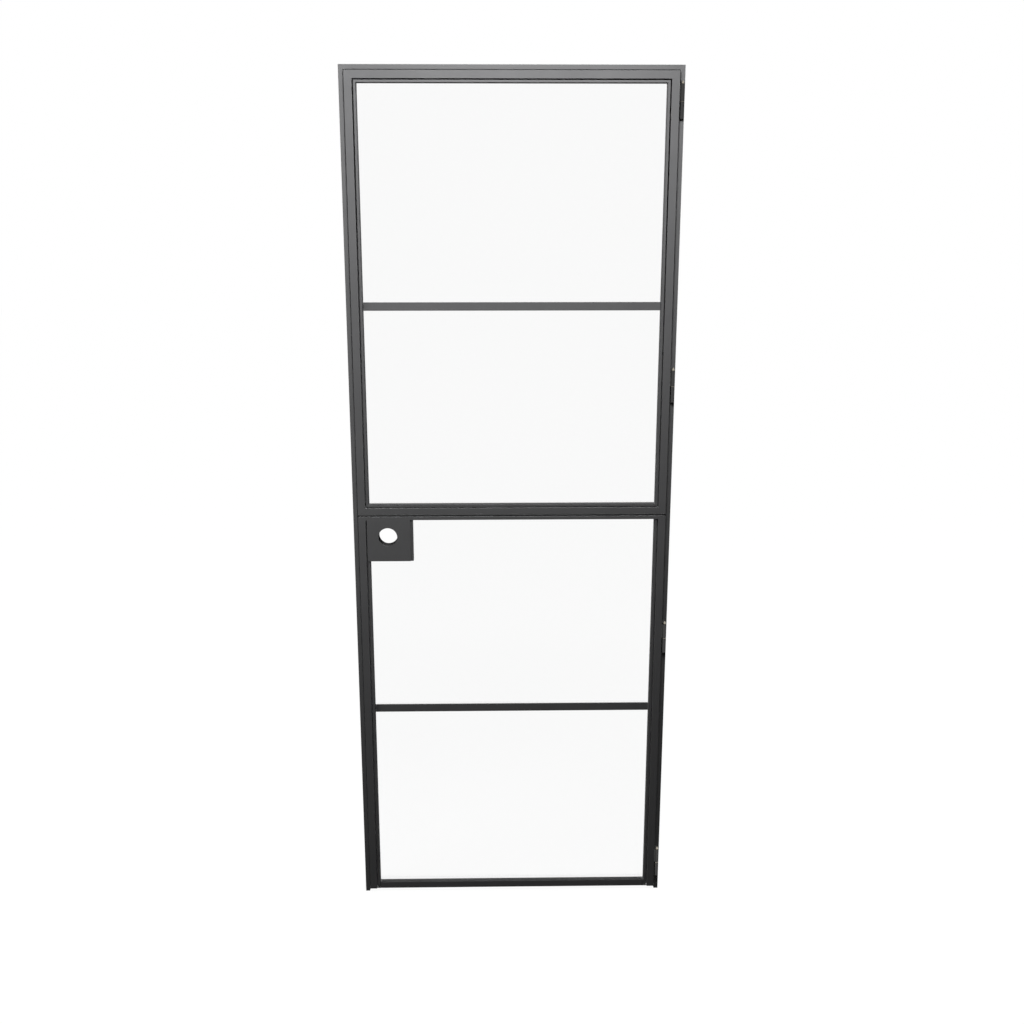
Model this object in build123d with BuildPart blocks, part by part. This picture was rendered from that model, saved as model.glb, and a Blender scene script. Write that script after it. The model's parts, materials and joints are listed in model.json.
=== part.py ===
"""A narrow steel dutch door with four glass lites, hung in its own welded frame.

The origin lies at floor level on the outer face of the hinge jamb, in the middle of its depth.
X runs to the hinge side, so the door lies on the -X side of the origin. The hinge barrels and
the raised flanges of the leaves face -Y, and both leaves open towards -Y. Z is up. All sizes are
millimetres.
"""

import os

from build123d import *

os.makedirs("parts", exist_ok=True)

# Overall size of the frame
frame_width = 914.4
frame_height = 2438.4
frame_depth = 60.0

# Clearances
swing_clearance = 5.0  # between the frame and the leaves, and between the two leaves
latch_extra = 0.5  # added beside the leaf tubes
floor_clearance = 12.0
pin_clearance = 0.05
knuckle_clearance = 0.3
seal_clearance = 0.5

# Jambs, head and the stop behind the leaves
jamb_face = 12.5
tube_wall = 2.0
tube_corner = 0.5
stop_width = 16.0
stop_depth = 25.0
light_wall = 1.5  # of the stops and of the bars inside the lock box
seal_width = 8.0
seal_base = 1.5
seal_inset = 6.0  # from the jamb's inner face to the seal

# Leaf members
leaf_tube_width = 20.5
leaf_tube_depth = 32.0
flange_width = 21.0
flange_thickness = 3.0
flange_reach = 3.5  # the part of the flange beyond the leaf tube, towards the jamb
flange_edge = 0.4  # chamfer along the front edges of the flanges
groove_width = 3.5  # the dark line between the flange and the front bead
rebate_depth = 15.0  # from the front of the leaf tube to the front of the glass
bead_face = 5.8
bead_slope = 2.0  # how far the inner side of a front bead leans out, down to the glass
bead_foot = 2.0  # thickness of the bead's foot, which runs under the groove
bottom_rail_face = 20.3
foot_bar_height = 2.5
cap_bar_height = 9.5
cap_pocket = 5.5  # depth of the cut for the glass in the cap bar's underside
muntin_face = 22.7
muntin_thickness = 5.0  # the flat bar in front of the glass
split_height = 1214.8  # middle of the gap between the leaves
upper_muntin_height = 1809.0
lower_muntin_height = 614.0

# Glass and what holds it
glass_thickness = 6.0
glass_clearance = 1.0
gasket_thickness = 1.0
gasket_inset = 0.5  # from the edge of a bead back to the gasket
rear_bead_high = 4.5  # width of a rear bead at the glass
rear_bead_low = 1.0  # its width at the back

# Lock box in the upper latch corner of the lower leaf
box_plate_width = 123.4
box_bar_face = 20.0
box_bar_show = 8.9  # the part of the side bar that the plate leaves bare
box_height = 123.2
plate_thickness = 3.0
lock_bore_radius = 27.0
lock_bore_drop = 50.9  # from the underside of the cap bar
lock_backset = 80.3  # from the outer face of the latch stile
latch_bore_radius = 6.0

# Barrel hinges
hinge_inset = 7.0  # from the outer face of the hinge jamb to the hinge axis
barrel_radius = 5.8
leaf_knuckle_length = 44.0
frame_knuckle_length = 44.0
washer_thickness = 1.0
pin_radius = 3.5
pin_head_radius = 4.4
pin_collar = 1.2
pin_tip_radius = 1.5
pin_taper = 6.0  # height of the tapered part of the head
weld_web = 6.0
head_hinge_drop = 78.5  # from the top of the upper leaf's flange to the first washer
upper_hinge_rise = 372.0  # from the split up to the second washer
lower_hinge_drop = 378.0  # from the split down to the third washer
foot_hinge_rise = 83.0  # from the foot of the lower leaf to the last washer

# Depths, front to back
jamb_front = -frame_depth / 2
jamb_back = frame_depth / 2
tube_front = jamb_front - swing_clearance
flange_front = tube_front - flange_thickness
tube_back = tube_front + leaf_tube_depth
rebate_floor = tube_front + rebate_depth
muntin_front = rebate_floor - muntin_thickness
stop_front = tube_back + swing_clearance
glass_front = rebate_floor + gasket_thickness
glass_back = glass_front + glass_thickness
rear_bead_front = glass_back + gasket_thickness

# Widths, from the outer face of each jamb inwards
tube_outer = jamb_face + swing_clearance + latch_extra
tube_inner = tube_outer + leaf_tube_width
flange_outer = tube_outer - flange_reach
flange_inner = flange_outer + flange_width
bead_outer = flange_inner + groove_width
sight = bead_outer + bead_face + bead_slope  # inner edge of the front bead at the glass
glass_cover = sight - tube_inner  # how far beads, rails and bars reach over the tubes' opening
strike_face = -frame_width
middle_x = strike_face / 2

# Heights
upper_leaf_foot = split_height + swing_clearance / 2
lower_leaf_head = split_height - swing_clearance / 2
upper_tube_foot = upper_leaf_foot + foot_bar_height
upper_tube_head = frame_height - tube_outer
upper_flange_head = frame_height - flange_outer
upper_sight_head = frame_height - sight
upper_sight_foot = upper_tube_foot + sight - tube_outer
meeting_flange_head = upper_tube_foot + flange_inner - tube_outer
cap_bar_foot = lower_leaf_head - cap_bar_height
lower_leaf_foot = floor_clearance
lower_sight_foot = lower_leaf_foot + bottom_rail_face
box_foot = cap_bar_foot - box_height

# Lock box, in x
plate_left = strike_face + bead_outer
plate_right = plate_left + box_plate_width
box_right = plate_right + box_bar_show
lock_bore_x = strike_face + tube_outer + lock_backset
lock_bore_height = cap_bar_foot - lock_bore_drop

# Hinge axis
hinge_x = -hinge_inset
hinge_y = flange_front + flange_thickness / 2
washer_heights = [
    upper_flange_head - head_hinge_drop,
    split_height + upper_hinge_rise,
    split_height - lower_hinge_drop,
    lower_leaf_foot + foot_hinge_rise,
]


def seen_from_front(y):
    """A plane across the door at depth y, whose normal points to the front."""
    return Plane(origin=(0, y, 0), x_dir=(1, 0, 0), z_dir=(0, -1, 0))


def finish(piece, name):
    """Label one finished piece and write it."""
    piece.part.label = name
    export_step(piece.part, f"parts/{name}.step")


def rectangle_between(u_low, u_high, v_low, v_high, mode=Mode.ADD):
    """A rectangle given by its limits in the plane of the sketch."""
    with Locations(((u_low + u_high) / 2, (v_low + v_high) / 2)):
        Rectangle(u_high - u_low, v_high - v_low, mode=mode)


def tube_section(u_low, u_high, v_low, v_high, wall):
    """The section of a drawn steel tube with slightly rounded outer corners."""
    with Locations(((u_low + u_high) / 2, (v_low + v_high) / 2)):
        RectangleRounded(u_high - u_low, v_high - v_low, tube_corner)
        Rectangle(u_high - u_low - 2 * wall, v_high - v_low - 2 * wall, mode=Mode.SUBTRACT)


def rebated_outline(place, wall):
    """The corners of a rebated leaf tube's section, drawn smaller all round by the wall.

    place turns a distance from the outer face of the jamb, or from the top of the frame, and a
    depth into a point of the sketch.
    """
    return [
        place(tube_outer + wall, tube_front + wall),
        place(flange_inner - wall, tube_front + wall),
        place(flange_inner - wall, rebate_floor + wall),
        place(tube_inner - wall, rebate_floor + wall),
        place(tube_inner - wall, tube_back - wall),
        place(tube_outer + wall, tube_back - wall),
    ]


def rebated_section(place):
    """The section of a leaf tube with a rebate for the front bead."""
    Polygon(*rebated_outline(place, 0), align=None)
    Polygon(*rebated_outline(place, tube_wall), align=None, mode=Mode.SUBTRACT)


def plane_through(near, far, removed_side):
    """A plane through two (x, z) points that faces the side to be cut away."""
    along = Vector(far[0] - near[0], 0, far[1] - near[1])
    normal = along.cross(Vector(0, 1, 0))
    towards = Vector(removed_side[0] - near[0], 0, removed_side[1] - near[1])
    if normal.dot(towards) < 0:
        normal = -normal
    return Plane(origin=(near[0], 0, near[1]), z_dir=normal)


def inward(side, distance):
    """The x of a point at a distance from the outer face of the strike (-1) or hinge (1) jamb."""
    return strike_face + distance if side < 0 else -distance


def ordered(a, b):
    """Two limits, the lower one first."""
    return min(a, b), max(a, b)


sides = {"strike": -1, "hinge": 1}
leaf_sides = {"latch": -1, "hinge": 1}

# Frame: two jambs and a head, mitred at the upper corners
for name, side in sides.items():
    x_low, x_high = ordered(inward(side, 0), inward(side, jamb_face))
    with BuildPart() as jamb:
        with BuildSketch(Plane.XY):
            tube_section(x_low, x_high, jamb_front, jamb_back, tube_wall)
        extrude(amount=frame_height)
        mitre = plane_through(
            (inward(side, 0), frame_height),
            (inward(side, jamb_face), frame_height - jamb_face),
            (middle_x, frame_height),
        )
        split(bisect_by=mitre, keep=Keep.BOTTOM)
    finish(jamb, f"{name}_jamb")

with BuildPart() as head:
    with BuildSketch(Plane.YZ.offset(strike_face)):
        tube_section(jamb_front, jamb_back, frame_height - jamb_face, frame_height, tube_wall)
    extrude(amount=frame_width)
    for side in sides.values():
        mitre = plane_through(
            (inward(side, 0), frame_height),
            (inward(side, jamb_face), frame_height - jamb_face),
            (inward(side, 0), 0),
        )
        split(bisect_by=mitre, keep=Keep.BOTTOM)
finish(head, "head_jamb")

# Stops behind the leaves: the side stops run up to the head, the head stop fits between them
stop_back = stop_front + stop_depth
stop_inner = jamb_face + stop_width
for name, side in sides.items():
    x_low, x_high = ordered(inward(side, jamb_face), inward(side, stop_inner))
    with BuildPart() as stop:
        with BuildSketch(Plane.XY):
            tube_section(x_low, x_high, stop_front, stop_back, light_wall)
        extrude(amount=frame_height - jamb_face)
    finish(stop, f"{name}_stop")

with BuildPart() as head_stop:
    with BuildSketch(Plane.YZ.offset(inward(-1, stop_inner))):
        tube_section(
            stop_front, stop_back, frame_height - stop_inner, frame_height - jamb_face, light_wall
        )
    extrude(amount=frame_width - 2 * stop_inner)
finish(head_stop, "head_stop")

# Weather seals on the stops: a flat base with a round bulb towards the leaf
seal_outer = jamb_face + seal_inset
seal_inner = seal_outer + seal_width
seal_front = tube_back + seal_clearance
bulb_radius = seal_width / 2 - seal_base / 2
bulb_centre_y = seal_front + bulb_radius


def seal_section(middle, flip):
    """Base and bulb of a seal; flip puts the depth on the first sketch axis."""
    base = (stop_front - seal_base, stop_front)
    width = (middle - seal_width / 2, middle + seal_width / 2)
    bulb = (bulb_centre_y, middle) if flip else (middle, bulb_centre_y)
    first, second = (base, width) if flip else (width, base)
    with Locations(bulb):
        Circle(bulb_radius)
    if flip:
        rectangle_between(stop_front, stop_front + seal_width, *width, mode=Mode.SUBTRACT)
    else:
        rectangle_between(*width, stop_front, stop_front + seal_width, mode=Mode.SUBTRACT)
    rectangle_between(*first, *second)


for name, side in sides.items():
    with BuildPart() as seal:
        with BuildSketch(Plane.XY):
            seal_section((inward(side, seal_outer) + inward(side, seal_inner)) / 2, False)
        extrude(amount=frame_height - seal_outer)
    finish(seal, f"{name}_seal")

with BuildPart() as head_seal:
    with BuildSketch(Plane.YZ.offset(inward(-1, seal_inner))):
        seal_section(frame_height - (seal_outer + seal_inner) / 2, True)
    extrude(amount=frame_width - 2 * seal_inner)
finish(head_seal, "head_seal")

# Stiles of both leaves; the upper ones are mitred to the rails at both ends
upper_corner_head = (
    (tube_outer, upper_tube_head),
    (sight, upper_sight_head),
)
upper_corner_foot = (
    (tube_outer, upper_tube_foot),
    (sight, upper_sight_foot),
)


def corner_plane(side, corner, keep_upright):
    """The mitre plane of a corner, facing the rail's part or the stile's part."""
    (outer, outer_z), (inner, inner_z) = corner
    across = (middle_x, outer_z)
    along = (inward(side, outer), inner_z)
    return plane_through(
        (inward(side, outer), outer_z),
        (inward(side, inner), inner_z),
        across if keep_upright else along,
    )


def mitre_upright(side, corners):
    """Cut the upright in the part being built at the mitre of each corner."""
    for corner in corners:
        split(bisect_by=corner_plane(side, corner, True), keep=Keep.BOTTOM)


def mitre_across(corner):
    """Cut the rail in the part being built at both ends."""
    for side in leaf_sides.values():
        split(bisect_by=corner_plane(side, corner, False), keep=Keep.BOTTOM)


def beside_jamb(side):
    """Turns a distance from a jamb's outer face, and a depth, into a point seen from above."""
    return lambda distance, depth: (inward(side, distance), depth)


for name, side in leaf_sides.items():
    with BuildPart() as stile:
        with BuildSketch(Plane.XY.offset(upper_tube_foot)):
            rebated_section(beside_jamb(side))
        extrude(amount=upper_tube_head - upper_tube_foot)
        mitre_upright(side, (upper_corner_head, upper_corner_foot))
    finish(stile, f"upper_{name}_stile")

    with BuildPart() as stile:
        with BuildSketch(Plane.XY.offset(lower_leaf_foot)):
            rebated_section(beside_jamb(side))
        extrude(amount=cap_bar_foot - lower_leaf_foot)
        foot_plate = ordered(inward(side, tube_outer), inward(side, sight))
        with BuildSketch(Plane.XY.offset(lower_leaf_foot)):
            rectangle_between(*foot_plate, tube_front, rebate_floor)
        extrude(amount=tube_wall)
        if name == "latch":
            bore_start = Plane(
                origin=(
                    inward(side, tube_outer),
                    (rebate_floor + tube_back) / 2,
                    lock_bore_height,
                ),
                z_dir=(1, 0, 0),
            )
            with BuildSketch(bore_start):
                Circle(latch_bore_radius)
            extrude(amount=leaf_tube_width, mode=Mode.SUBTRACT)
    finish(stile, f"lower_{name}_stile")


# Rails of the upper leaf, with the section of the stiles
def below_head(distance, depth):
    """A point of the top rail's section, at a distance from the top of the frame."""
    return depth, frame_height - distance


def above_foot_bar(distance, depth):
    """A point of the meeting rail's section, as far up as a stile's point is inward."""
    return depth, upper_tube_foot + distance - tube_outer


upper_rails = {
    "upper_top": (below_head, upper_corner_head),
    "upper_meeting": (above_foot_bar, upper_corner_foot),
}
for name, (place, corner) in upper_rails.items():
    with BuildPart() as rail:
        with BuildSketch(Plane.YZ.offset(inward(-1, tube_outer))):
            rebated_section(place)
        extrude(amount=frame_width - 2 * tube_outer)
        mitre_across(corner)
    finish(rail, f"{name}_rail")

# Foot bar that closes the upper leaf from below, level with the flanges
with BuildPart() as foot_bar:
    with BuildSketch(Plane.XY.offset(upper_leaf_foot)):
        rectangle_between(
            inward(-1, flange_outer), inward(1, flange_outer), flange_front, tube_front
        )
        rectangle_between(inward(-1, tube_outer), inward(1, tube_outer), tube_front, tube_back)
    extrude(amount=foot_bar_height)
finish(foot_bar, "upper_foot_bar")

# Front beads in the rebates, each with a foot under the groove and an inner side that leans out:
# a welded ring in the upper leaf, two uprights in the lower leaf
def upper_window(distance):
    """The rectangle at a distance from the jambs' outer faces, as far from rail as from stile."""
    rectangle_between(
        inward(-1, distance),
        inward(1, distance),
        upper_tube_foot + distance - tube_outer,
        frame_height - distance,
    )


with BuildPart() as upper_front_beads:
    with BuildSketch(seen_from_front(rebate_floor)):
        upper_window(bead_outer)
    extrude(amount=rebate_depth)
    with BuildSketch(seen_from_front(rebate_floor)):
        upper_window(flange_inner)
    extrude(amount=bead_foot)
    with BuildSketch(seen_from_front(rebate_floor)):
        upper_window(sight)
    with BuildSketch(seen_from_front(tube_front)):
        upper_window(sight - bead_slope)
    loft(ruled=True, mode=Mode.SUBTRACT)
finish(upper_front_beads, "upper_leaf_front_beads")

with BuildPart() as lower_front_beads:
    for side in leaf_sides.values():
        place = beside_jamb(side)
        with BuildSketch(Plane.XY.offset(lower_leaf_foot + tube_wall)):
            Polygon(
                place(bead_outer, tube_front),
                place(sight - bead_slope, tube_front),
                place(sight, rebate_floor),
                place(flange_inner, rebate_floor),
                place(flange_inner, rebate_floor - bead_foot),
                place(bead_outer, rebate_floor - bead_foot),
                align=None,
            )
        extrude(amount=cap_bar_foot - lower_leaf_foot - tube_wall)
finish(lower_front_beads, "lower_leaf_front_beads")

# Bottom rail of the lower leaf: a hollow box in front of the glass line and one behind it
sight_width = frame_width - 2 * sight
tube_gap = frame_width - 2 * tube_inner
with BuildPart() as bottom_rail:
    with BuildSketch(Plane.YZ.offset(inward(-1, sight))):
        tube_section(tube_front, rebate_floor, lower_leaf_foot, lower_sight_foot, tube_wall)
    extrude(amount=sight_width)
    with BuildSketch(Plane.YZ.offset(inward(-1, tube_inner))):
        tube_section(
            rebate_floor, tube_back, lower_leaf_foot, lower_sight_foot - glass_cover, tube_wall
        )
    extrude(amount=tube_gap)
finish(bottom_rail, "lower_bottom_rail")

# Muntins: T bars, with a flat bar in front of the glass and a web between the panes
for name, height in (("upper", upper_muntin_height), ("lower", lower_muntin_height)):
    z_low, z_high = height - muntin_face / 2, height + muntin_face / 2
    with BuildPart() as muntin:
        with BuildSketch(Plane.YZ.offset(inward(-1, sight))):
            rectangle_between(muntin_front, rebate_floor, z_low, z_high)
        extrude(amount=sight_width)
        with BuildSketch(Plane.YZ.offset(inward(-1, tube_inner))):
            rectangle_between(rebate_floor, tube_back, z_low + glass_cover, z_high - glass_cover)
        extrude(amount=tube_gap)
    finish(muntin, f"{name}_muntin")

# Cap bar that closes the top of the lower leaf, over the tubes and level with the flanges; its
# underside is cut back for the upper edge of the glass
box_inner_right = box_right - glass_cover
box_inner_foot = box_foot + glass_cover
with BuildPart() as cap_bar:
    with BuildSketch(Plane.XY.offset(cap_bar_foot)):
        rectangle_between(
            inward(-1, flange_outer), inward(1, flange_outer), flange_front, tube_front
        )
        rectangle_between(inward(-1, tube_outer), inward(1, tube_outer), tube_front, tube_back)
    extrude(amount=cap_bar_height)
    with BuildSketch(Plane.XY.offset(cap_bar_foot)):
        rectangle_between(box_inner_right, inward(1, tube_inner), rebate_floor, tube_back)
    extrude(amount=cap_pocket, mode=Mode.SUBTRACT)
finish(cap_bar, "lower_cap_bar")


# Raised flanges: a mitred frame on the upper leaf, two uprights on the lower leaf
flange_corners = {
    "upper_top": ((flange_outer, upper_flange_head), (flange_inner, frame_height - flange_inner)),
    "upper_meeting": ((flange_outer, upper_tube_foot), (flange_inner, meeting_flange_head)),
}
for name, side in leaf_sides.items():
    x_low, x_high = ordered(inward(side, flange_outer), inward(side, flange_inner))
    with BuildPart() as flange:
        with BuildSketch(seen_from_front(tube_front)):
            rectangle_between(x_low, x_high, upper_tube_foot, upper_flange_head)
        extrude(amount=flange_thickness)
        chamfer(flange.edges().filter_by(Axis.Z).group_by(Axis.Y)[0], flange_edge)
        mitre_upright(side, flange_corners.values())
    finish(flange, f"upper_{name}_flange")

    with BuildPart() as flange:
        with BuildSketch(seen_from_front(tube_front)):
            rectangle_between(x_low, x_high, lower_leaf_foot, cap_bar_foot)
        extrude(amount=flange_thickness)
        chamfer(flange.edges().filter_by(Axis.Z).group_by(Axis.Y)[0], flange_edge)
    finish(flange, f"lower_{name}_flange")

for name, corner in flange_corners.items():
    (_, outer_z), (_, inner_z) = corner
    with BuildPart() as flange:
        with BuildSketch(seen_from_front(tube_front)):
            rectangle_between(
                inward(-1, flange_outer), inward(1, flange_outer), *ordered(outer_z, inner_z)
            )
        extrude(amount=flange_thickness)
        chamfer(flange.edges().filter_by(Axis.X).group_by(Axis.Y)[0], flange_edge)
        mitre_across(corner)
    finish(flange, f"{name}_flange")

# Lock box: front and back plates on a side bar and a bottom bar, bored for a cylinder lock
box_bar_left = box_right - box_bar_face
box_bar_top = box_foot + box_bar_face
box_bar_back = tube_back - plate_thickness
with BuildPart() as box_side_bar:
    with BuildSketch(Plane.XY.offset(box_foot)):
        tube_section(box_bar_left, box_right, tube_front, rebate_floor, tube_wall)
    extrude(amount=box_height)
    with BuildSketch(Plane.XY.offset(box_inner_foot)):
        tube_section(box_bar_left, box_inner_right, rebate_floor, box_bar_back, light_wall)
    extrude(amount=box_height - glass_cover)
finish(box_side_bar, "lock_box_side_bar")

with BuildPart() as box_bottom_bar:
    with BuildSketch(Plane.YZ.offset(inward(-1, sight))):
        tube_section(tube_front, rebate_floor, box_foot, box_bar_top, tube_wall)
    extrude(amount=box_bar_left - inward(-1, sight))
    with BuildSketch(Plane.YZ.offset(inward(-1, tube_inner))):
        tube_section(rebate_floor, box_bar_back, box_inner_foot, box_bar_top, light_wall)
    extrude(amount=box_bar_left - inward(-1, tube_inner))
finish(box_bottom_bar, "lock_box_bottom_bar")

box_plates = {
    "lock_box_front_plate": (plate_left, plate_right, box_foot, tube_front),
    "lock_box_back_plate": (inward(-1, tube_inner), box_inner_right, box_inner_foot, tube_back),
}
for name, (x_low, x_high, z_low, y_back) in box_plates.items():
    with BuildPart() as plate:
        with BuildSketch(seen_from_front(y_back)):
            rectangle_between(x_low, x_high, z_low, cap_bar_foot)
            with Locations((lock_bore_x, lock_bore_height)):
                Circle(lock_bore_radius, mode=Mode.SUBTRACT)
        extrude(amount=plate_thickness)
    finish(plate, name)

# Lites: the openings that the beads leave, the first lower one notched around the lock box; its
# head lies low enough for the glass to end in the cap bar's pocket
pocket_sight = cap_bar_foot + cap_pocket - glass_cover
lites = {
    "upper_leaf_top": (upper_muntin_height + muntin_face / 2, upper_sight_head, False),
    "upper_leaf_low": (upper_sight_foot, upper_muntin_height - muntin_face / 2, False),
    "lower_leaf_top": (lower_muntin_height + muntin_face / 2, pocket_sight, True),
    "lower_leaf_low": (lower_sight_foot, lower_muntin_height - muntin_face / 2, False),
}


def lite_outline(lite, growth):
    """The opening of a lite, drawn larger all round by the growth."""
    z_low, z_high, notched = lites[lite]
    left, right = inward(-1, sight) - growth, inward(1, sight) + growth
    rectangle_between(left, right, z_low - growth, z_high + growth)
    if notched:
        rectangle_between(
            left, box_right - growth, box_foot + growth, z_high + growth, mode=Mode.SUBTRACT
        )


for lite in lites:
    with BuildPart() as pane:
        with BuildSketch(seen_from_front(glass_back)):
            lite_outline(lite, glass_cover - glass_clearance)
        extrude(amount=glass_thickness)
    finish(pane, f"{lite}_glass")

gasket_edges = {
    glass_front: gasket_inset,
    rear_bead_front: glass_cover - rear_bead_high + gasket_inset,
}
for leaf in ("upper_leaf", "lower_leaf"):
    own_lites = [lite for lite in lites if lite.startswith(leaf)]
    with BuildPart() as gaskets:
        for lite in own_lites:
            for back, edge in gasket_edges.items():
                with BuildSketch(seen_from_front(back)):
                    lite_outline(lite, glass_cover)
                    with BuildSketch(mode=Mode.PRIVATE) as inside:
                        lite_outline(lite, edge)
                    add(inside.sketch, mode=Mode.SUBTRACT)
                extrude(amount=gasket_thickness)
    finish(gaskets, f"{leaf}_gaskets")

    with BuildPart() as beads:
        for lite in own_lites:
            with BuildSketch(seen_from_front(tube_back)):
                lite_outline(lite, glass_cover)
            extrude(amount=tube_back - rear_bead_front)
            with BuildSketch(seen_from_front(rear_bead_front)):
                lite_outline(lite, glass_cover - rear_bead_high)
            with BuildSketch(seen_from_front(tube_back)):
                lite_outline(lite, glass_cover - rear_bead_low)
            loft(ruled=True, mode=Mode.SUBTRACT)
    finish(beads, f"{leaf}_beads")

# Barrel hinges: each leaf knuckle stands on a brass washer on the frame knuckle, round one pin
pin_bore = pin_radius + pin_clearance
with BuildPart() as frame_knuckles:
    for height in washer_heights:
        with BuildSketch(Plane.XY.offset(height - frame_knuckle_length)):
            with Locations((hinge_x, hinge_y)):
                Circle(barrel_radius)
            rectangle_between(
                hinge_x - weld_web / 2, hinge_x + weld_web / 2, hinge_y, jamb_front
            )
            with Locations((hinge_x, hinge_y)):
                Circle(pin_bore, mode=Mode.SUBTRACT)
        extrude(amount=frame_knuckle_length)
finish(frame_knuckles, "frame_knuckles")

with BuildPart() as washers:
    for height in washer_heights:
        with BuildSketch(Plane.XY.offset(height)):
            with Locations((hinge_x, hinge_y)):
                Circle(barrel_radius)
                Circle(pin_bore, mode=Mode.SUBTRACT)
        extrude(amount=washer_thickness)
finish(washers, "hinge_washers")

knuckle_rise = washer_thickness + knuckle_clearance
for leaf, heights in (("upper_leaf", washer_heights[:2]), ("lower_leaf", washer_heights[2:])):
    with BuildPart() as leaf_knuckles:
        for height in heights:
            with BuildSketch(Plane.XY.offset(height + knuckle_rise)):
                with Locations((hinge_x, hinge_y)):
                    Circle(barrel_radius)
                rectangle_between(inward(1, flange_outer), hinge_x, flange_front, tube_front)
                with Locations((hinge_x, hinge_y)):
                    Circle(pin_bore, mode=Mode.SUBTRACT)
            extrude(amount=leaf_knuckle_length)
    finish(leaf_knuckles, f"{leaf}_knuckles")

# Hinge pins, each with a turned head on top of the barrel: a collar, a taper and a round tip
shank_length = frame_knuckle_length + knuckle_rise + leaf_knuckle_length + knuckle_clearance
taper_foot = shank_length + pin_collar
taper_head = taper_foot + pin_taper
with BuildPart() as pins:
    for height in washer_heights:
        foot = height - frame_knuckle_length
        pin_axis = Plane(origin=(hinge_x, hinge_y, foot), x_dir=(1, 0, 0), z_dir=(0, -1, 0))
        with BuildSketch(pin_axis):
            with BuildLine():
                Polyline(
                    (0, taper_head + pin_tip_radius),
                    (0, 0),
                    (pin_radius, 0),
                    (pin_radius, shank_length),
                    (pin_head_radius, shank_length),
                    (pin_head_radius, taper_foot),
                    (pin_tip_radius, taper_head),
                )
                CenterArc((0, taper_head), pin_tip_radius, 0, 90)
            make_face()
        revolve(axis=Axis((hinge_x, hinge_y, foot), (0, 0, 1)))
finish(pins, "hinge_pins")
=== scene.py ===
# %% [markdown]
# # A black steel dutch door with clear glass
# The door is a welded frame with two leaves, one above the other. The shapes, the sizes and the
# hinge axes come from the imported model, which is loaded here as a fixed frame. This lesson gives
# that frame its finishes, its finer turned and rounded pieces, its light and its camera.

# %% Load the fixed frame
import json
import math

import bpy
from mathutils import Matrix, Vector


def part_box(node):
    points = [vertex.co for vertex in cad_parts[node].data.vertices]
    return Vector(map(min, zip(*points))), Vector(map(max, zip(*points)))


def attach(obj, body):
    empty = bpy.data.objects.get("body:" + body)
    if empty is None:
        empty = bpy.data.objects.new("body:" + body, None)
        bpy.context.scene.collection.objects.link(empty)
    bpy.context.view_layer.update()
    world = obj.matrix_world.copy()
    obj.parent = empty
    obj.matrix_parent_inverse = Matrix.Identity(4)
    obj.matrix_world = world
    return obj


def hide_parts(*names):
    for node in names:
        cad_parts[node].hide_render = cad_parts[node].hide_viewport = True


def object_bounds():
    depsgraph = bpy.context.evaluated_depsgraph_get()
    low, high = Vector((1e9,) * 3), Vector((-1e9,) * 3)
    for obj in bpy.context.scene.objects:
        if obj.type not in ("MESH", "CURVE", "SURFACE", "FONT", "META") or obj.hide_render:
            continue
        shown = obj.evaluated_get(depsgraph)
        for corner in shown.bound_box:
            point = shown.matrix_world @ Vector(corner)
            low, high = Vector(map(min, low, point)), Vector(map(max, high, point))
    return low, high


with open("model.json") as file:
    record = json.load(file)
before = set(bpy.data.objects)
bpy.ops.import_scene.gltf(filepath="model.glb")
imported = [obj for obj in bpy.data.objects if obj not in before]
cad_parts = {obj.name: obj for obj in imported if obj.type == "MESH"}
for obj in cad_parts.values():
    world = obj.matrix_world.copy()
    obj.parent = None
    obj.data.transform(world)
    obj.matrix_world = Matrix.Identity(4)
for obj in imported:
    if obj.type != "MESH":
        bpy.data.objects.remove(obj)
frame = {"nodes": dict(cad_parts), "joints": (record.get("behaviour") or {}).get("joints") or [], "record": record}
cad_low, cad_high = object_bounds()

scene = bpy.context.scene
nodes = frame["nodes"]
for plain_material in list(bpy.data.materials):
    bpy.data.materials.remove(plain_material)
print("CAD box", [round(v, 4) for v in cad_low], [round(v, 4) for v in cad_high])

# %% [markdown]
# ## The camera
# The photograph was taken from 2.1 m above the floor, a little to the left of the middle, with
# the camera tilted down. The camera could be moved until the door looks right, but the lines of
# the jambs meet far below the picture, and the tilt and the lens follow from where they meet. So
# they are worked out once and given as numbers, and the place is measured from the door's middle.

# %% Set the camera at the photograph's viewing angle
door_centre_x = (cad_low.x + cad_high.x) / 2
left_of_middle = 0.060
in_front = 3.3646
above_floor = 2.0923
tilted_down = 14.599
turned_right = 1.025
camera_data = bpy.data.cameras.new("door_camera")
camera_data.lens = 42.045
camera_data.sensor_width = 36.0
camera_data.clip_start = 0.05
camera = bpy.data.objects.new("door_camera", camera_data)
camera.location = (door_centre_x - left_of_middle, -in_front, above_floor)
camera.rotation_euler = (math.radians(90.0 - tilted_down), 0.0, math.radians(-turned_right))
scene.collection.objects.link(camera)
scene.camera = camera
print("camera at", [round(v, 4) for v in camera.location], "lens", round(camera_data.lens, 3))

# %% [markdown]
# ## Small helpers for node trees
# Each finish is a tree of nodes. The nodes could be added by hand in the editor, but a script
# builds the same tree each time. The first helper adds any node, places it in the editor, sets
# its properties and fills its sockets, with a value or with a link. The others each add one kind
# of node that many finishes need, and give back what it puts out, so a finish reads as a list.


# %% Add one node to a tree
def add_node(tree, kind, place, sockets=None, **properties):
    """A new node of a kind, with its sockets and properties set."""
    node = tree.nodes.new(kind)
    node.location = place
    for name, value in properties.items():
        setattr(node, name, value)
    for name, value in (sockets or {}).items():
        if hasattr(value, "links"):
            tree.links.new(value, node.inputs[name])
        else:
            node.inputs[name].default_value = value
    return node


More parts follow.
